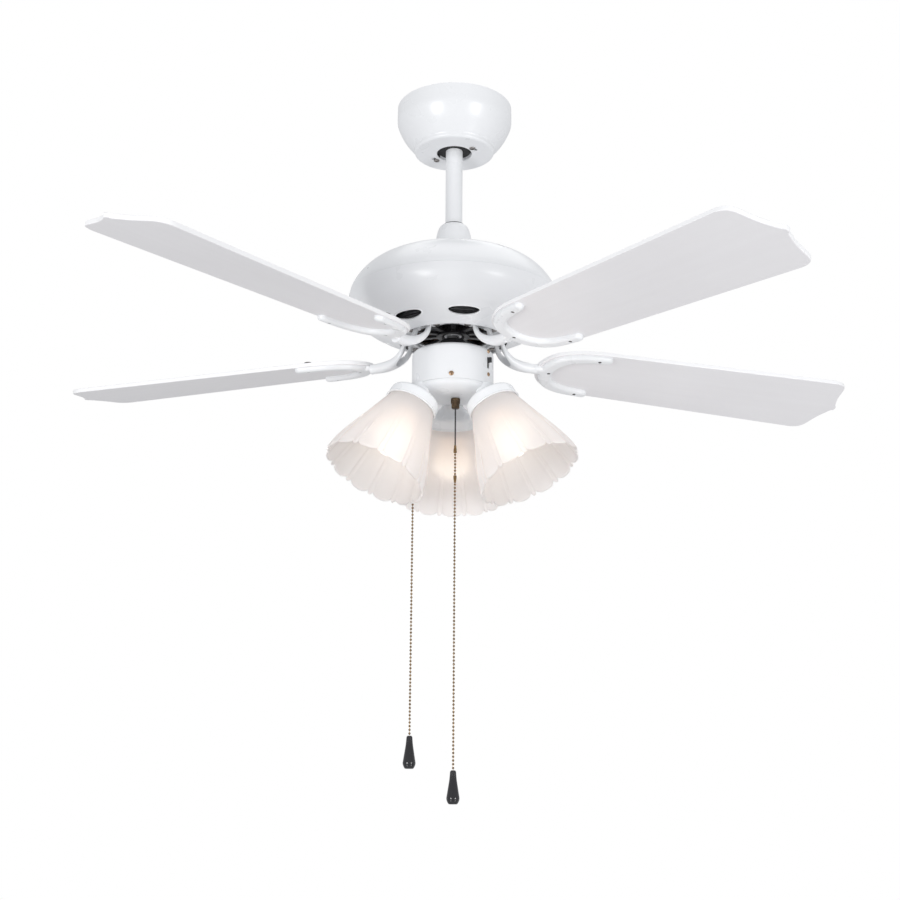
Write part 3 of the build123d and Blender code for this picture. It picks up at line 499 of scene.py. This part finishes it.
def add_shape(verts, faces, local, fs, place, axis, spin):
    z = axis.normalized()
    x = Vector((1, 0, 0)) if abs(z.x) < 0.8 else Vector((0, 1, 0))
    x = (x - z * x.dot(z)).normalized()
    y = z.cross(x)
    c, s = math.cos(spin), math.sin(spin)
    base = len(verts)
    for p in local:
        px, py = c * p[0] - s * p[1], s * p[0] + c * p[1]
        verts.append(place + x * px + y * py + z * p[2])
    for f in fs:
        faces.append(tuple(base + i for i in f))


def bead_shape(r, seg=14, rings=9):
    """A rolled bead: a ball with a small dimple where the link goes in."""
    prof = []
    for i in range(rings + 1):
        t = math.pi * i / rings
        rr, z = r * math.sin(t), -r * math.cos(t)
        if i in (0, rings):
            prof.append((0.0, -0.86 * r if i == 0 else 0.86 * r))
        else:
            prof.append((rr, z))
    return lathe(prof, seg, closed=False)


def rod_shape(r, a, b, seg=8):
    return lathe([(0.0, a), (r, a), (r, b), (0.0, b)], seg, closed=False)


def bead_run(verts, faces, line, s0, s1):
    n = max(2, int(round((s1 - s0) / STEP)))
    pitch = (s1 - s0) / n
    bv, bf = bead_shape(BALL)
    for i in range(n):
        p, t = along(line, s0 + pitch * (i + 0.5))
        k = 1.0 + rng.uniform(-0.025, 0.012)
        tip = Vector((rng.uniform(-0.05, 0.05), rng.uniform(-0.05, 0.05), 0))
        add_shape(verts, faces, [(x * k, y * k, z * k) for (x, y, z) in bv], bf, p, (t + tip), rng.uniform(0, 6.28))
    # the dumb-bell links between the beads
    q0, t0 = along(line, s0)
    rv, rf = rod_shape(WIRE, 0.0, s1 - s0)
    add_shape(verts, faces, rv, rf, q0, t0, 0.0)


def thin_run(verts, faces, line, s0, s1, r, seg=12):
    q0, t0 = along(line, s0)
    rv, rf = rod_shape(r, 0.0, s1 - s0, seg)
    add_shape(verts, faces, rv, rf, q0, t0, 0.0)


FAN_X, FAN_Y = -0.04732, 0.02602
NUT_X = 0.0035      # the light chain leaves the fitter a little off centre
LIGHT_TOP, LIGHT_END = -0.3946, -0.8240
FAN_TOP, FAN_END = -0.3613, -0.7846

light_line = route("light_route", [(NUT_X, 0.0, LIGHT_TOP), (NUT_X, 0.0, -0.448), (NUT_X, 0.0, -0.486), (NUT_X, 0.0, LIGHT_END)])
fan_line = route("fan_route", [(FAN_X, FAN_Y, FAN_TOP), (FAN_X, FAN_Y, -0.52), (FAN_X, FAN_Y, FAN_END)])

v, f = [], []
L0 = LIGHT_TOP
thin_run(v, f, light_line, 0.0, L0 + 0.4440, 0.00085)
thin_run(v, f, light_line, L0 + 0.4430, L0 + 0.4530, 0.0005)
bead_run(v, f, light_line, L0 + 0.4527, L0 + 0.4804)
thin_run(v, f, light_line, L0 + 0.4800, L0 + 0.4896, 0.0005)
bead_run(v, f, light_line, L0 + 0.4893, L0 - LIGHT_END - 0.0004)
light_chain = new_piece("light_chain", v, f, "chain_metal", "light_pull")
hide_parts("light_pull_chain")

v, f = [], []
bead_run(v, f, fan_line, 0.0012, FAN_TOP - FAN_END - 0.0004)
fan_chain = new_piece("fan_chain", v, f, "chain_metal", "fan_pull")
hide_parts("fan_pull_chain")


def fob_piece(name, body, node, x, y, z):
    """Turned drop: a collar, a long flare, a rounded foot."""
    body_l = [(0.0, 0.0), (1.5, 0.0), (2.3, -0.12), (2.62, -0.5), (3.1, -0.95), (3.42, -1.6), (3.5, -2.2)]
    body_l += smooth_line([(3.5, -2.2), (4.2, -10.0), (5.6, -19.0), (7.1, -28.0), (7.5, -30.5)], 8)[1:]
    body_l += smooth_line([(7.5, -30.5), (7.44, -31.9), (7.0, -33.6), (6.1, -35.6), (5.2, -36.95), (4.3, -37.5), (2.5, -37.6)], 4)[1:]
    body_l += [(0.0, -37.6)]
    vv, ff = lathe([(r * MM, q * MM) for (r, q) in body_l], 48, closed=False)
    ob = new_piece(name, vv, ff, "gloss_black", body, Matrix.Translation((x, y, z)))
    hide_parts(node)
    return ob


light_fob = fob_piece("light_fob", "light_pull", "light_pull_fob", NUT_X, 0.0, LIGHT_END)
fan_fob = fob_piece("fan_fob", "fan_pull", "fan_pull_fob", FAN_X, FAN_Y, FAN_END)


def bell(z_top, z_bot, flip=False):
    """A bell-shaped chain end."""
    h = z_top - z_bot
    p = [(0.0, 0.0), (1.5, 0.0), (1.75, -0.25), (1.8, -0.6)]
    p += smooth_line([(1.8, -0.6), (1.9, -2.0), (2.25, -4.0), (2.55, -6.4), (2.62, -7.6)], 4)[1:]
    p += [(2.62, -8.2), (2.4, -8.7), (1.7, -9.0), (0.0, -9.0)]
    s = h / 9.0
    q = [(r * 0.76 * MM, z * s) for (r, z) in p]
    q = [(r, z / 1.0) for (r, z) in q]
    if flip:
        q = [(r, -h - z) for (r, z) in q][::-1]
    return lathe([(r, z) for (r, z) in q], 28, closed=False)


v, f = [], []
for (zt, zb, fl) in ((-0.4432, -0.4527, False), (-0.4804, -0.4893, True)):
    bv, bf = bell(zt, zb, fl)
    base = len(v)
    v += [Vector((a + NUT_X, b, c + zt)) for (a, b, c) in bv]
    f += [tuple(base + i for i in g) for g in bf]
connectors = new_piece("light_connectors", v, f, "antique_brass", "light_pull")
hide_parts("light_chain_connectors")

# ------------------------------------------------------------------ glass shades
TILT = math.radians(28.1)
HOLDER_AZ = (-150.0, -30.0, 90.0)


def holder_matrix(az):
    a = math.radians(az)
    er = Vector((math.cos(a), math.sin(a), 0.0))
    ax = er * math.sin(TILT) + Vector((0, 0, -math.cos(TILT)))
    xd = er * math.cos(TILT) + Vector((0, 0, math.sin(TILT)))
    yd = ax.cross(xd)
    o = er * 0.0578 + Vector((0, 0, -0.4035))
    return Matrix(((xd.x, yd.x, ax.x, o.x), (xd.y, yd.y, ax.y, o.y), (xd.z, yd.z, ax.z, o.z), (0, 0, 0, 1)))


LOBES = 12
RIB = 0.10          # half width of a narrow rib, as a share of the pitch
BELL = [(27.3, -11.6), (28.3, -6.0), (29.7, 0.0), (33.4, 10.0), (37.0, 20.0), (40.5, 30.0), (44.1, 40.0),
        (47.8, 50.0), (51.4, 60.0), (54.9, 70.0), (58.0, 80.0), (60.5, 90.0), (61.7, 97.0), (62.0, 100.0)]


def bell_r(z):
    for (r0, z0), (r1, z1) in zip(BELL, BELL[1:]):
        if z <= z1:
            t = (z - z0) / (z1 - z0)
            i = BELL.index((r0, z0))
            ra = BELL[max(i - 1, 0)]
            rb = BELL[min(i + 2, len(BELL) - 1)]
            m0 = (r1 - ra[0]) / (z1 - ra[1]) * (z1 - z0)
            m1 = (rb[0] - r0) / (rb[1] - z0) * (z1 - z0)
            return ((2 * t ** 3 - 3 * t * t + 1) * r0 + (t ** 3 - 2 * t * t + t) * m0
                    + (-2 * t ** 3 + 3 * t * t) * r1 + (t ** 3 - t * t) * m1)
    return BELL[-1][0]


def phase(phi):
    """Where a point lies in its flute: 0 at the middle of a lobe, +-0.5 at the middle of a rib."""
    u = (phi * LOBES / (2 * math.pi)) % 1.0
    return u - 1.0 if u > 0.5 else u


def relief(phi, depth):
    u = abs(phase(phi))
    edge = 0.5 - RIB
    if u < edge:
        t = u / edge
        h = (1.0 - t ** 2.6) * 2.2
    else:
        t = (0.5 - u) / RIB
        h = math.sqrt(max(0.0, 1.0 - t * t)) * 1.6
    return (h - 1.5) * depth


def fade(z):
    t = min(1.0, max(0.0, (z - 16.0) / 62.0))
    return t * t * (3 - 2 * t)


def rim_end(phi):
    u = abs(phase(phi))
    edge = 0.5 - RIB
    if u < edge:
        t = u / edge
        return 100.0 - 4.6 * t ** 3.4
    t = (0.5 - u) / RIB
    return 95.4 + 3.9 * math.sqrt(max(0.0, 1.0 - t * t))


def shade_mesh():
    seg = LOBES * 30
    zs = [-11.6, -9.0, -6.0, -3.0, 0.0, 4.0, 8.0, 12.0, 16.0, 20.0, 25.0, 30.0, 35.0, 40.0, 45.0, 50.0, 55.0, 60.0, 65.0,
          70.0, 75.0, 80.0, 84.0, 88.0, 91.0, 94.0, 96.5]
    T = 2.8
    verts, faces, rows = [], [], []

    def ring_of(fn):
        row = []
        for k in range(seg):
            phi = 2 * math.pi * k / seg
            r, z = fn(phi)
            row.append(len(verts))
            verts.append((r * math.cos(phi) * MM, r * math.sin(phi) * MM, z * MM))
        rows.append(row)

    def outer(z):
        def fn(phi):
            zz = z
            if z > 60.0:
                zz = 60.0 + (z - 60.0) * (rim_end(phi) - 1.2 - 60.0) / 36.5
            return bell_r(zz) + relief(phi, fade(zz)), zz
        return fn

    def inner(z):
        def fn(phi):
            zz = z
            if z > 60.0:
                zz = 60.0 + (z - 60.0) * (rim_end(phi) - 1.2 - 60.0) / 36.5
            return bell_r(zz) - T + 0.55 * relief(phi, fade(zz)), zz
        return fn

    def lip(t):
        def fn(phi):
            z0 = rim_end(phi) - 1.2
            ro = bell_r(z0) + relief(phi, fade(z0))
            ri = bell_r(z0) - T + 0.55 * relief(phi, fade(z0))
            a = math.pi * t
            rc, rr = (ro + ri) / 2, (ro - ri) / 2
            return rc + rr * math.cos(a), z0 + 1.2 * math.sin(a)
        return fn

    # fitter flange, then down the outside, round the rim and back up the inside
    ring_of(lambda p: (18.3, -10.4))
    ring_of(lambda p: (18.3, -12.8))
    ring_of(lambda p: (18.8, -13.4))
    ring_of(lambda p: (25.2, -13.4))
    ring_of(lambda p: (26.6, -12.9))
    for z in zs:
        ring_of(outer(z))
    for t in (0.16, 0.33, 0.5, 0.67, 0.84):
        ring_of(lip(t))
    for z in reversed(zs[1:]):
        ring_of(inner(z))
    ring_of(lambda p: (24.4, -9.9))
    pairs = list(zip(rows, rows[1:])) + [(rows[-1], rows[0])]
    for a, b in pairs:
        for k in range(seg):
            j = (k + 1) % seg
            faces.append((a[k], a[j], b[j], b[k]))
    return verts, faces


sv, sf = shade_mesh()
for i, az in enumerate(HOLDER_AZ):
    turn = Matrix.Rotation(math.radians((9.0, 21.0, 0.0)[i]), 4, "Z")
    s = new_piece("shade_glass_%d" % (i + 1), sv, sf, "frosted_glass", "hanging_fan", holder_matrix(az) @ turn, sharp=60)
    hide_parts("shade_%d" % (i + 1))

# lit opal lamps
bulb = [(0.0, -8.6), (8.6, -8.6), (9.0, -8.2), (13.0, -5.6), (13.2, -5.0), (13.2, 12.2), (13.7, 13.4)]
bulb += smooth_line([(13.7, 13.4), (14.6, 20.0), (16.6, 26.5), (19.6, 32.5), (22.2, 38.0), (23.6, 43.5), (23.8, 48.5),
                     (22.8, 54.0), (20.0, 59.4), (15.8, 63.6), (10.8, 66.8), (5.4, 68.5), (0.0, 69.0)], 3)[1:]
bv, bf = lathe([(r * MM, z * MM) for (r, z) in bulb], 56, closed=False)
for i, az in enumerate(HOLDER_AZ):
    ob = new_piece("lamp_%d" % (i + 1), bv, bf, "lamp_glass", "hanging_fan", holder_matrix(az))
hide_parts("bulbs")

# ------------------------------------------------------------------ knurled chain nut
def knurl(a, r, z):
    if (-0.3908 < z < -0.3856 or -0.3966 < z < -0.3920) and r > 0.0035:
        return r - 0.00034 * (0.5 - 0.5 * math.cos(26 * a))
    return r


nut = [(1.5, -384.8), (5.2, -384.8), (5.55, -385.2), (5.6, -385.7), (5.6, -388.2), (5.6, -390.7), (5.45, -391.1), (4.7, -391.35)]
nut += [(4.6, -391.6), (4.75, -392.1), (4.75, -394.2), (4.75, -396.2), (4.6, -396.8), (4.0, -397.4), (3.2, -397.6), (1.5, -397.6), (1.5, -391.0)]
nv, nf = lathe([(r * MM, z * MM) for (r, z) in nut], 180, knurl)
cn = new_piece("chain_nut", nv, nf, "dark_bronze", "hanging_fan", Matrix.Translation((NUT_X, 0, 0)))
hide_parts("light_chain_nut")

# ------------------------------------------------------------------ rolled lips round the vents
def bottom_z(r):
    line = [(68.4, -312.2), (74.0, -309.6), (86.0, -304.0), (98.0, -298.0), (107.7, -293.0)]
    for (r0, z0), (r1, z1) in zip(line, line[1:]):
        if r <= r1:
            return z0 + (z1 - z0) * (r - r0) / (r1 - r0)
    return line[-1][1]


VENT_AZ = [-81.8 + 45.0 * k for k in range(8)]
v, f = [], []
for az in VENT_AZ:
    a0 = math.radians(az)
    cs, sn = math.cos(a0), math.sin(a0)
    nseg, nsec = 72, 10
    rows = []
    for k in range(nseg):
        t = 2 * math.pi * k / nseg
        # centre of the lip's section, on the edge of the opening
        cx, cy = 88.0 + 7.3 * math.cos(t), 19.5 * math.sin(t)
        nx, ny = math.cos(t) / 7.3, math.sin(t) / 19.5
        l = math.hypot(nx, ny)
        nx, ny = nx / l, ny / l
        r = math.hypot(cx, cy)
        z = bottom_z(r) + 0.15
        # surface normal of the cone, pointing out and down
        er = Vector((cx / r, cy / r, 0.0))
        nrm = (er * 0.447 + Vector((0, 0, -0.894)))
        side = Vector((nx, ny, 0.0))
        side = (side - nrm * side.dot(nrm)).normalized()
        row = []
        for j in range(nsec):
            b = 2 * math.pi * j / nsec
            q = Vector((cx, cy, z)) + side * (1.0 * math.cos(b)) + nrm * (0.8 * math.sin(b))
            x, y = q.x * cs - q.y * sn, q.x * sn + q.y * cs
            row.append(len(v))
            v.append((x * MM, y * MM, q.z * MM))
        rows.append(row)
    for a, b in zip(rows, rows[1:] + rows[:1]):
        for j in range(nsec):
            jj = (j + 1) % nsec
            f.append((a[j], b[j], b[jj], a[jj]))
# the lips wear the lighter enamel copy, a painted highlight along the rolled edges
new_piece("vent_lips", v, f, "lip_enamel_painted_highlight", "hanging_fan")

# ------------------------------------------------------------------ black ring between the rod and the coupling cover, painted shade for the dark gap there
ring = [(10.75, -160.3), (12.7, -160.2), (13.3, -159.9), (13.45, -159.4), (13.2, -158.8), (12.4, -158.4), (11.2, -158.3), (10.75, -158.5)]
gv, gf = lathe([(r * MM, z * MM) for (r, z) in ring], 72)
new_piece("gap_shade_ring", gv, gf, "black_rubber", "hanging_fan")

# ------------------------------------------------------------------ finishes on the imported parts
FINISH = {
    "mounting_bracket": "zinc_steel", "canopy": "white_enamel", "canopy_screws": "worn_steel",
    "hanger_ball": "black_rubber", "ball_pin": "zinc_steel", "downrod": "white_enamel", "motor_coupling": "zinc_steel",
    "clevis_pin": "zinc_steel", "coupling_cover": "white_enamel", "coupling_cover_screw": "grub_screw",
    "housing_top": "white_enamel", "housing_bottom": "white_enamel", "motor_shaft": "zinc_steel",
    "stator_core": "lamination_steel", "stator_windings": "copper_wire", "bearing_inner_races": "zinc_steel",
    "bearing_outer_races": "zinc_steel", "bearing_balls": "zinc_steel", "switch_mount_plate": "black_paint",
    "shaft_nut": "zinc_steel", "switch_housing": "white_enamel", "switch_housing_screws": "brass_screw",
    "reverse_switch_body": "black_plastic", "reverse_switch_screws": "brass_screw", "reverse_switch_knob": "black_plastic",
    "capacitor": "black_plastic", "fan_pull_switch": "black_plastic", "fan_chain_bushing": "black_plastic",
    "light_fitter": "white_enamel", "light_pull_switch": "black_plastic", "lamp_sockets": "zinc_steel",
    "shade_ring_nuts": "zinc_steel", "shade_holder_1": "cap_enamel_painted_lit", "shade_holder_2": "cap_enamel_painted_lit",
    "shade_holder_3": "cap_enamel_painted_lit", "rotor_ring": "bright_aluminium", "rotor_bottom_cover": "rotor_pressing",
    "rotor_top_cover": "black_paint", "blade_screws": "screw_end", "iron_screws": "worn_steel",
}
BLADE_AZ = (-55.0, 17.5, 89.2, 158.9, 232.5)
for i in range(5):
    FINISH["blade_iron_%d" % (i + 1)] = "white_enamel"
    M["blade_%d" % (i + 1)] = blade_board("white_blade_%d" % (i + 1), BLADE_AZ[i])
    FINISH["blade_%d" % (i + 1)] = "blade_%d" % (i + 1)


def dress(ob, mat):
    if not ob.material_slots:
        ob.data.materials.append(mat)
    for s in ob.material_slots:
        s.material = mat


for name, ob in nodes.items():
    dress(ob, M[FINISH.get(name, "zinc_steel")])

# ------------------------------------------------------------------ stage, lights, view
def stage_floor():
    k = Mat("floor_pale")
    p = k.place()
    k.colour(k.ramp(k.noise(p, 1.3, 3.0), [(0.3, (0.80, 0.80, 0.80)), (0.7, (0.84, 0.84, 0.84))]))
    k.rough(k.span(k.noise(p, 6.0, 3.0), 0.55, 0.7))
    k.bump(k.noise(p, 40.0, 3.0), 0.05, 0.001)
    n = 96
    vs = [(0, 0, 0)] + [(9.0 * math.cos(2 * math.pi * q / n), 9.0 * math.sin(2 * math.pi * q / n), 0) for q in range(n)]
    fs = [(0, 1 + q, 1 + (q + 1) % n) for q in range(n)]
    me = bpy.data.meshes.new("floor")
    me.from_pydata(vs, [], fs)
    me.materials.append(k.m)
    ob = bpy.data.objects.new("floor", me)
    ob.location = (0, 0, -3.45)
    scene.collection.objects.link(ob)


stage_floor()


def soft_box(name, place, look, size, watts, tone=(1, 1, 1)):
    d = bpy.data.lights.new(name, "AREA")
    d.shape = "RECTANGLE"
    d.size, d.size_y = size
    d.energy = watts
    d.color = tone
    o = bpy.data.objects.new(name, d)
    o.location = place
    o.rotation_euler = (Vector(look) - Vector(place)).to_track_quat("-Z", "Y").to_euler()
    o.visible_camera = False
    scene.collection.objects.link(o)
    return o


soft_box("key", (-1.5, -2.08, -0.93), (0, 0, -0.3), (0.8, 0.8), 24)
soft_box("fill", (1.80, -1.90, -0.87), (0, 0, -0.3), (0.75, 0.75), 19.5)
soft_box("low_left", (-1.25, -1.25, -2.1), (0, 0, -0.1), (0.6, 0.6), 3)
soft_box("low_right", (1.40, -1.10, -2.05), (0, 0, -0.1), (0.6, 0.6), 3)
soft_box("top", (0.3, 0.4, 2.2), (0, 0, -0.3), (3.2, 3.2), 34)
soft_box("under", (0.0, 0.0, -3.3), (0, 0, -0.3), (5.0, 5.0), 7)

w = bpy.data.worlds.new("studio")
scene.world = w
w.use_nodes = True
nt = w.node_tree
nt.nodes.clear()
out = nt.nodes.new("ShaderNodeOutputWorld")
seen = nt.nodes.new("ShaderNodeBackground")
seen.inputs["Color"].default_value = (1, 1, 1, 1)
seen.inputs["Strength"].default_value = 1.0
lit = nt.nodes.new("ShaderNodeBackground")
lit.inputs["Color"].default_value = (0.97, 0.98, 1.0, 1)
lit.inputs["Strength"].default_value = 0.60
path = nt.nodes.new("ShaderNodeLightPath")
both = nt.nodes.new("ShaderNodeMixShader")
nt.links.new(path.outputs["Is Camera Ray"], both.inputs[0])
nt.links.new(lit.outputs[0], both.inputs[1])
nt.links.new(seen.outputs[0], both.inputs[2])
nt.links.new(both.outputs[0], out.inputs["Surface"])

scene.view_settings.view_transform = "Standard"
scene.view_settings.look = "None"
scene.view_settings.exposure = 0.0
scene.view_settings.gamma = 1.0
